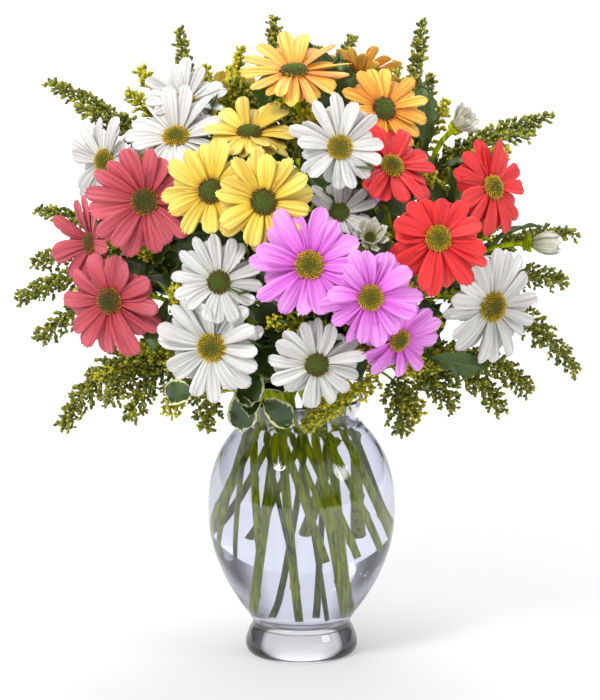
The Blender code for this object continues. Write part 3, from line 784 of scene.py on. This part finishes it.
def build_spray(spray):
    """One branched stem with its three heads, its leaves, and its petals as a second piece."""
    name, color = spray_node(spray), spray.split("_")[0]
    stem_node, places = name + "_stem", [f"{spray} {number}" for number in (1, 2, 3)]
    stem_points, petal_nodes = node_points(stem_node), [ring_node(place) for place in places]
    heads = [Head(place, stem_points) for place in places]
    dice = random.Random(name)

    petals = []
    for head in heads:
        kind = {**KINDS[color], **head.own}
        petals += cupped_petals(head) if head.half or head.shut else open_petals(head, kind)
        petals += [] if head.shut else florets(head, 2 if kind.get("young") else 1)
    looks = [PETAL_LOOKS[color], DISC_LOOKS[KINDS[color]["disc"]]]
    if any("young" in head.own for head in heads):
        looks.append(DISC_LOOKS["green"])
    piece = gathered(name + "_flowers", petals, *looks)
    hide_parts(*petal_nodes)
    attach(piece, "root")

    foot, top = stem_ends(stem_points)
    leave = unit(top - foot)
    ends = [head.middle - head.axis * 4.5 * MM for head in heads]
    mean = np.mean(ends, axis=0)
    fork = top + (mean - top) * 0.55
    onward = unit(mean - top)
    straight, widths = knotted((foot, top), STEM_RADIUS, dice)
    rise = arc(top, top + leave * 25 * MM, fork - onward * 20 * MM, fork, 12)
    runs = [(np.vstack([straight, rise]), widths + [STEM_RADIUS * (1 - 0.2 * k / 12) for k in range(13)])]
    leaves, twigs = [], []
    for head, end in zip(heads, ends):
        far = np.linalg.norm(end - fork)
        twig = arc(fork, fork + onward * far * 0.3, end - head.axis * far * 0.4, end, 14)
        twigs.append(twig)
        runs.append((twig, [TWIG_RADIUS * (1.15 if k < 12 else 1.5) for k in range(15)]))
        leaves += calyx(head)
    seats = [rise[dice.randrange(2, 12)] for _ in range(5)]
    seats += [twig[dice.randrange(*span)] for twig in twigs for span in ((1, 4), (4, 7), (7, 11))]
    for number, at in enumerate(seats):
        angle = number * GOLDEN_TURN + dice.random()
        out = np.array((math.cos(angle), math.sin(angle), 0.0))
        if at[:2] @ out[:2] < 0:
            out = -out
        grow = unit(out + np.array((0, 0, dice.uniform(-0.1, 0.7))) + unit(at) * 0.2)
        leaves.append(leaf_part(at, grow, np.array((0, 0, 1.0)) + out * 0.3,
                                *(dice.uniform(*span) * MM for span in BRANCH_LEAF), dice, look=1))
    gaps = [(heads[k].middle + heads[k - 1].middle) / 2 for k in range(3)]
    for other in NEIGHBOURS.get(spray, ()):
        near = ring_middle(other)
        closest = min(heads, key=lambda head: np.linalg.norm(head.middle - near))
        gaps.append((closest.middle + near) / 2)
    for k, gap in enumerate(gaps):
        behind = gap * (GAP_DEPTH, GAP_DEPTH, 1)
        turn, lift = math.atan2(behind[0], -behind[1]), dice.uniform(5, 35)
        x, y, z = behind / MM - (0, 0, RIM_HEIGHT / MM)
        spot = (x, y, z - 6, math.degrees(turn) + dice.uniform(-20, 20), lift,
                *(dice.uniform(*span) for span in GAP_LEAF))
        place_leaf(leaves, runs, spot, rise[8 + k % 4], dice, 1, bend=radians(-25))
    for leaf in SPRAY_LEAVES.get(spray, ()):
        place_leaf(leaves, runs, leaf, rise[9], dice, 1, bend=radians(-20))
    green = gathered(name + "_leaves", leaves, STEM_LOOK, LEAF_LOOK)
    stem = joined_up(name + "_greens", green, rods(name + "_stalks", runs, STEM_LOOK))
    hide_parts(stem_node)
    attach(stem, "root")


# ---- goldenrod

# Where each goldenrod branches, and each plume's tip and how far it hangs over, as in the CAD, in
# millimetres above the rim
GOLDENROD = {
    "left_top": ((-60, -20, 140), (
        (-175, -20, 225, 10), (-155, -30, 210, 8), (-85, -10, 260, 0), (-120, 10, 190, 6))),
    "top": ((-10, -10, 155), (
        (-20, -15, 270, 0), (-45, -45, 230, 0), (35, -5, 255, 0), (10, 20, 245, 0))),
    "right_top": ((65, -10, 140), (
        (85, 10, 265, 4), (90, -20, 230, 2), (175, 0, 200, 12), (160, -20, 190, 12))),
    "right": ((80, -20, 75), (
        (195, 10, 115, 16), (185, -20, 85, 14), (195, -10, 20, 26), (150, 40, 60, 16))),
    "right_low": ((65, -60, 35), (
        (160, -30, 10, 22), (140, -45, 0, 20), (105, -65, 5, 14), (70, -70, -10, 14))),
    "left": ((-70, -10, 85), (
        (-185, -10, 135, 8), (-190, 10, 95, 10), (-200, 0, 70, 16), (-185, -20, 45, 18))),
    "left_low": ((-65, -35, 40), (
        (-170, -15, -20, 36), (-135, -45, 5, 26), (-120, -50, -5, 22), (-65, -80, -5, 14))),
    "back": ((-5, 50, 65), (
        (-70, 130, 25, 12), (-20, 140, 55, 16), (90, 110, 25, 8), (15, 90, 5, 18))),
}
# Short side plumes in bloom, deep between the flower heads. Each ends halfway between two places of the CAD:
# a ring of petals, or a goldenrod's tip by its number
SIDE_PLUMES = {
    "left_low": (
        ("salmon 3", "white_front 1"), ("white_front 2", "left_low 3"), ("salmon 3", "left_low 3"),
        ("left 3", "left_low 2"), ("left_low 1", "left_low 3"), ("salmon 3", "left_low 1")),
    "right_low": (
        ("magenta 3", "white_front 3"), ("left_low 3", "right_low 3"), ("white_front 1", "white_front 3"),
        ("magenta 3", "right_low 2"), ("white_right 1", "right_low 2"), ("white_front 3", "right_low 3"),
        ("magenta 3", "white_right 1"), ("right_low 2", "right_low 3"), ("red 2", "magenta 3"),
        ("white_right 1", "right_low 3")),
    "right": (
        ("white_right 3", "right_low 0"), ("red 3", "white_right 1"), ("white_right 3", "red 3"),
        ("red 2", "white_right 1")),
    "left": (
        ("salmon 2", "left 3"), ("white_left 3", "left 0"), ("salmon 1", "salmon 3")),
    "right_top": (
        ("red 3", "right_top 0"), ("red 3", "right_top 2"), ("orange 2", "right_top 0"),
        ("red 1", "red 3"), ("right_top 0", "yellow_back 2"), ("right_top 2", "magenta_back 2")),
    "left_top": (
        ("white_left 1", "left_top 0"), ("left_top 1", "left_top 2"), ("orange 1", "left_top 2"),
        ("salmon 1", "yellow 2"), ("left_top 2", "yellow_back 3"), ("left_top 3", "white_back 1")),
    "top": (
        ("orange 1", "top 0"), ("white_middle 1", "orange 1"), ("top 3", "yellow_back 1")),
    "back": (
        ("white_back 1", "white_back 3"), ("yellow_back 2", "magenta_back 1"),
        ("yellow_back 1", "white_back 2"), ("white_back 3", "left 2"), ("magenta_back 2", "back 2"),
        ("magenta_back 1", "back 2"), ("right 3", "magenta_back 2"), ("right 3", "yellow_back 2")),
}
# They end at this share of that point's distance from the middle of the bouquet
PLUME_DEPTH = 0.93


def place_of(label):
    """Where a ring of petals or a goldenrod's tip is."""
    name, number = label.split()
    return above_rim(*GOLDENROD[name][1][int(number)][:3]) if name in GOLDENROD else ring_middle(label)


def plume(axis, dice, wide, buds, twigs):
    """One feathery plume: short branchlets all round its axis, each strung with buds. The axis is a run of
    points; wide is how far the branchlets stand out."""
    count = len(axis)
    lengths = run_lengths(axis)
    total = lengths[-1]
    at, number = total * 0.16, dice.randrange(8)
    while at < total:
        share = at / total
        seat = np.array([np.interp(at, lengths, axis[:, k]) for k in range(3)])
        nearest = min(int(np.searchsorted(lengths, at)), count - 1)
        onward = unit(axis[nearest] - axis[nearest - 1])
        side, other = axes_of(onward)
        angle = number * GOLDEN_TURN + dice.uniform(-0.4, 0.4)
        outward = side * math.cos(angle) + other * math.sin(angle)
        taper = min(1.0, 0.45 + 2.2 * share) * (1 - share) ** 0.55
        long = wide * (0.30 + 1.1 * taper) * dice.uniform(0.7, 1.15)
        grow = unit(outward * 0.95 + onward * 0.75 + np.array((0, 0, 0.2)))
        droop = np.array((0, 0, -0.22)) * long
        branch = arc(seat, seat + grow * long * 0.4, seat + grow * long * 0.8 + droop * 0.3,
                     seat + grow * long + droop, 3)
        twigs.append((branch, [0.3 * MM] * 3 + [0.18 * MM]))
        strung = max(3, int(long / BUD_GAP))
        for k in range(strung):
            t = (k + 0.6) / strung
            spot = np.array([np.interp(t * 3, range(4), branch[:, j]) for j in range(3)])
            wild = np.array((dice.uniform(-1, 1), dice.uniform(-1, 1), dice.uniform(-0.5, 1.1)))
            point = unit(grow * 0.6 + onward * 0.3 + wild * 0.9)
            buds.append((spot, point, dice.uniform(0.8, 1.25)))
        at += dice.uniform(1.0, 1.65) * MM
        number += 1
    buds.append((axis[-1], unit(axis[-1] - axis[-2]), 1.0))


def strewn(name, buds, dice, size, look):
    """Bud copies at these spots."""
    points, corners, sizes = BUD
    tall = points[:, 2] / points[:, 2].max()
    parts = []
    for spot, point, scale in buds:
        side, other = axes_of(point)
        bud = set_in(points * size * scale, spot, side, other, point)
        grain = np.column_stack([tall, tall, np.full(len(points), dice.random() * 0.9)])
        parts.append((bud, corners, sizes, grain, 0))
    return gathered(name, parts, look)


# How far a plume's branchlets stand out, how closely they are strung with buds, the height in millimetres
# above the rim below which plumes are wider, and how far the side plumes hang over
PLUME_REACH = 10.5 * MM
BUD_GAP = 0.85 * MM
LOW_TIP = 100
SIDE_HANG = 5


def build_goldenrod(name):
    """One goldenrod: its stalk, and the plumes and side plumes that branch from it."""
    node = "goldenrod_" + name
    fork, tips = GOLDENROD[name]
    dice = random.Random(node)
    foot, top = stem_ends(node_points(node))
    leave, fork = unit(top - foot), above_rim(*fork)
    onward = unit(fork - top)
    rise = arc(top, top + leave * 25 * MM, fork - onward * 20 * MM, fork, 10)
    runs = [(np.vstack([foot, rise]), [1.7 * MM] * 12)]
    green, yellow, twigs = [], [], []
    rows = [(above_rim(x, y, z), hang, PLUME_REACH * (1.25 if z < LOW_TIP else 1.0), green)
            for x, y, z, hang in tips]
    rows += [((place_of(one) + place_of(two)) / 2 * (PLUME_DEPTH, PLUME_DEPTH, 1), SIDE_HANG,
              PLUME_REACH * 0.95, yellow) for one, two in SIDE_PLUMES[name]]
    for number, (tip, hang, wide, buds) in enumerate(rows):
        start = fork - onward * (1.0 + 1.7 * number) * MM
        reach, along = np.linalg.norm(tip - start), unit(tip - start)
        down = np.array((0, 0, hang * MM))
        axis = arc(start, start + (onward + along) * reach * 0.2 + down * 0.5,
                   tip - along * reach * 0.25 + down, tip, 24)
        runs.append((axis, [(1.1 - 0.7 * k / 24) * MM for k in range(25)]))
        plume(axis[8:] if buds is yellow else axis, dice, wide, buds, twigs)
    piece = joined_up(node + "_plumes", strewn(node + "_buds", green, dice, 2.2 * MM, BUD_LOOK),
                      strewn(node + "_blooms", yellow, dice, 2.1 * MM, BLOOM_LOOK),
                      rods(node + "_stalks", runs, TWIG_LOOK, 2),
                      rods(node + "_branchlets", twigs, TWIG_LOOK, 0))
    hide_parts(node)
    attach(piece, "root")


# ---- pittosporum

# Each sprig's end and its leaves, as middle, turn, lift, length and width, as in the CAD
SPRIGS = {
    "pittosporum_sprig_front": ((-35, -75, 15), (
        (-35, -85, 25, -10, 35, 34, 22), (-40, -75, 5, -20, 5, 32, 22), (-15, -80, 5, 10, 0, 30, 18),
        (-85, -80, 20, -40, 10, 30, 18))),
    "pittosporum_sprig_back": ((-40, 75, 25), (
        (-45, 90, 35, -165, 30, 34, 22), (-60, 80, 15, -140, 5, 32, 22), (-25, 85, 10, 170, 0, 30, 20),
        (-75, 70, 30, -120, 10, 30, 20))),
}


SPRIG_LEAF = (22, 32), (13, 18)


def build_sprig(node):
    """One sprig of pittosporum, with the leaves of its table and nine small ones."""
    end, leaves = SPRIGS[node]
    dice = random.Random(node)
    foot, top = stem_ends(node_points(node))
    leave, end = unit(top - foot), above_rim(*end)
    onward = unit(end - top)
    rise = arc(top, top + leave * 15 * MM, end - onward * 15 * MM, end, 12)
    runs = [(np.vstack([foot, rise]), [1.9 * MM] * 14)]
    parts = []
    for leaf in leaves:
        place_leaf(parts, runs, leaf, rise[9], dice, 0, outline=OVAL_OUTLINE, channel=0.10, wave=1.6 * MM,
                   rise=radians(6), bend=radians(-24))
    side = 1 if end[1] > 0 else -1
    for number in range(9):
        out = facing(dice.uniform(-75, 75), dice.uniform(-20, 45)) * (1, -side, 1)
        face = unit(out + np.array((0, 0, 0.9)))
        parts.append(leaf_part(rise[4 + number % 8], out, face,
                               *(dice.uniform(*span) * MM for span in SPRIG_LEAF), dice, outline=OVAL_OUTLINE,
                               channel=0.10, wave=1.4 * MM, rise=radians(6), bend=radians(-30)))
    green = gathered(node + "_leaves", parts, VARIEGATED_LOOK)
    piece = joined_up(node + "_greens", green, rods(node + "_stalks", runs, STEM_LOOK))
    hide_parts(node)
    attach(piece, "root")


# ---- vase and water

# A row of CAD points wider than this is outside, and the inside starts above this height
WALL_RADIUS, FLOOR_GLASS = 34 * MM, 21.5 * MM


def wall_profile():
    """(radius, height) rows up the outside and the inside of the CAD vase."""
    points = node_points("vase")
    rows = {}
    for radius, height in zip(np.hypot(points[:, 0], points[:, 1]), points[:, 2]):
        rows.setdefault(round(height, 4), set()).add(round(radius, 4))
    outer = sorted((height, max(radii)) for height, radii in rows.items() if max(radii) > WALL_RADIUS)
    inner = sorted((height, min(radii)) for height, radii in rows.items() if height > FLOOR_GLASS and
                   (len(radii) > 1 or max(radii) < WALL_RADIUS))
    return outer, inner


def smooth_rows(rows, count):
    """A rounder line through these (height, radius) rows, as so many (radius, height) points."""
    rows = np.array(rows)
    run = run_lengths(rows)
    made = []
    for at in np.linspace(0, run[-1], count):
        k = min(max(int(np.searchsorted(run, at)) - 1, 0), len(rows) - 2)
        t = (at - run[k]) / (run[k + 1] - run[k])
        p0, p1, p2, p3 = (rows[min(max(k + j, 0), len(rows) - 1)] for j in (-1, 0, 1, 2))
        made.append(0.5 * (2 * p1 + (p2 - p0) * t + (2 * p0 - 5 * p1 + 4 * p2 - p3) * t * t
                           + (3 * p1 - p0 - 3 * p2 + p3) * t**3))
    return [(radius, height) for height, radius in made]


def spun(name, profile, look):
    """A profile of (radius, height) points, which starts and ends on the axis, spun into a closed solid."""
    mesh = bpy.data.meshes.new(name)
    mesh.from_pydata([(radius, 0, height) for radius, height in profile],
                     [(k, k + 1) for k in range(len(profile) - 1)], [])
    mesh.materials.append(look)
    made = linked(name, mesh)
    pick(made)
    bpy.ops.object.mode_set(mode="EDIT")
    bpy.ops.mesh.select_all(action="SELECT")
    bpy.ops.mesh.spin(steps=96, angle=TURN, center=(0, 0, 0), axis=(0, 0, 1))
    bpy.ops.mesh.select_all(action="SELECT")
    bpy.ops.mesh.remove_doubles(threshold=0.02 * MM)
    bpy.ops.mesh.normals_make_consistent(inside=False)
    bpy.ops.object.mode_set(mode="OBJECT")
    bpy.ops.object.shade_smooth()
    return made


def build_vase():
    """The glass, with a rounded lip and a hollow under its foot. Returns the line of its inside."""
    outer, inner = wall_profile()
    outside, inside = smooth_rows(outer, 70), smooth_rows(inner, 60)
    rim_out, rim_in = outside[-1], inside[-1]
    lip = [((rim_out[0] + rim_in[0]) / 2 + math.cos(a) * (rim_out[0] - rim_in[0]) / 2,
            rim_out[1] - 1.2 * MM + math.sin(a) * 1.2 * MM) for a in np.linspace(0.1, math.pi - 0.1, 7)]
    bottom = [(0, 1.2 * MM), (outside[0][0] * 0.55, 0.9 * MM), (outside[0][0] * 0.86, 0.3 * MM),
              (outside[0][0] * 0.93, 0.0)]
    profile = bottom + outside[:-1] + lip + inside[-2:0:-1] + [(0, inside[0][1])]
    vase = spun("glass_vase", profile, GLASS_LOOK)
    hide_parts("vase")
    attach(vase, "root")
    return inside


def build_water(inside):
    """The water, which creeps up the glass at its edge and overlaps the glass a little."""
    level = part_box("water")[1].z
    overlap = 0.25 * MM
    wet = [(radius + overlap, height - overlap) for radius, height in inside if height < level - 3 * MM]
    edge = np.interp(level, [h for _, h in inside], [r for r, _ in inside]) + overlap
    meniscus = [(edge, level + 0.8 * MM), (edge - 1.2 * MM, level + 0.2 * MM), (edge - 3 * MM, level)]
    water = spun("vase_water", [(0, wet[0][1])] + wet[1:] + meniscus + [(0, level)], WATER_LOOK)
    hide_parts("water")
    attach(water, "root")


# ---- stage

SKY_STRENGTH = 0.66
# The floor is lit evenly to this distance, where the lamps no longer reach
FLOOR_REACH = 3.0
# Each lamp's place, what it aims at, its size in metres and its power in watts
LAMPS = {
    "key_light": ((-1.1, -1.5, 1.9), (0, 0, 0.25), 0.7, 42),
    "side_light": ((1.5, -0.9, 1.1), (0, 0, 0.25), 0.7, 8),
    "top_light": ((0.1, 0.6, 2.2), (0, 0, 0.2), 1.4, 28),
}
# The camera's place, its tilt up from straight down, and its lens and sensor in millimetres
CAMERA_PLACE = (-0.0011, -2.0, 0.6306)
CAMERA_TILT = radians(78.45)
CAMERA_LENS, CAMERA_SENSOR = 147.1, 36


def studio_sky():
    """Even light from above. Near the horizon it is dark in the four diagonal quarters, which gives glass its
    dark edges, and the backdrop itself stays white."""
    world = bpy.data.worlds.new("studio")
    bpy.context.scene.world = world
    world.use_nodes = True
    f = Finish("studio_sky", world.node_tree)
    x, y, z = f.split(f.node("TexCoord").outputs["Generated"])
    quarter = f.ramp(f.math("ABSOLUTE", f.math("MULTIPLY", x, y)), (0.20, 0.0), (0.42, 1.0))
    low = f.ramp(z, (0.14, 1.0), (0.34, 0.0))
    even = f.mix(low, (0.94, 0.94, 1.0, 1), (1.62, 1.62, 1.68, 1))
    light = f.mix(f.math("MULTIPLY", quarter, low), even, (0.03, 0.03, 0.035, 1))
    seen = f.node("LightPath").outputs["Is Camera Ray"]
    f.feed(world.node_tree.nodes["Background"],
           {"Strength": SKY_STRENGTH, "Color": f.mix(seen, light, (1.62, 1.62, 1.62, 1))})


def build_stage():
    """The floor, the sky, the lamps and the camera."""
    deselect()
    bpy.ops.mesh.primitive_plane_add(size=24, location=(0, 0, 0))
    floor = bpy.context.object
    floor.name = "floor"
    f = Finish("pale_floor")
    speck = f.noise(f.place(), 3.0, 2.0)
    pale = f.ramp(speck, (0.3, (0.55, 0.55, 0.555, 1)), (0.7, (0.57, 0.57, 0.575, 1)))
    x, y, _ = f.split(f.stretched(f.place(), (1 / FLOOR_REACH, 1 / FLOOR_REACH, 1)))
    away = f.math("ADD", f.math("MULTIPLY", x, x), f.math("MULTIPLY", y, y))
    glow = f.ramp(away, (0.005, 0.29), (0.11, 0.48), (0.6, 0.72))
    f.set(Base_Color=pale, Roughness=0.7, Emission_Color=(1, 1, 1, 1), Emission_Strength=glow)
    floor.data.materials.append(f.material)

    studio_sky()

    for name, (place, aim, size, power) in LAMPS.items():
        data = bpy.data.lights.new(name, "AREA")
        data.shape, data.size, data.energy = "DISK", size, power
        lamp = linked(name, data)
        lamp.location = place
        lamp.rotation_euler = (Vector(place) - Vector(aim)).to_track_quat("Z", "Y").to_euler()

    data = bpy.data.cameras.new("camera")
    data.lens, data.sensor_width = CAMERA_LENS, CAMERA_SENSOR
    camera = linked("camera", data)
    camera.location, camera.rotation_euler = CAMERA_PLACE, (CAMERA_TILT, 0, 0)
    bpy.context.scene.camera = camera
    bpy.context.scene.view_settings.view_transform = "Standard"


# ---- the bouquet

build_stage()
build_water(build_vase())
for spray in SPRAYS:
    build_spray(spray)
for goldenrod in GOLDENROD:
    build_goldenrod(goldenrod)
for sprig in SPRIGS:
    build_sprig(sprig)
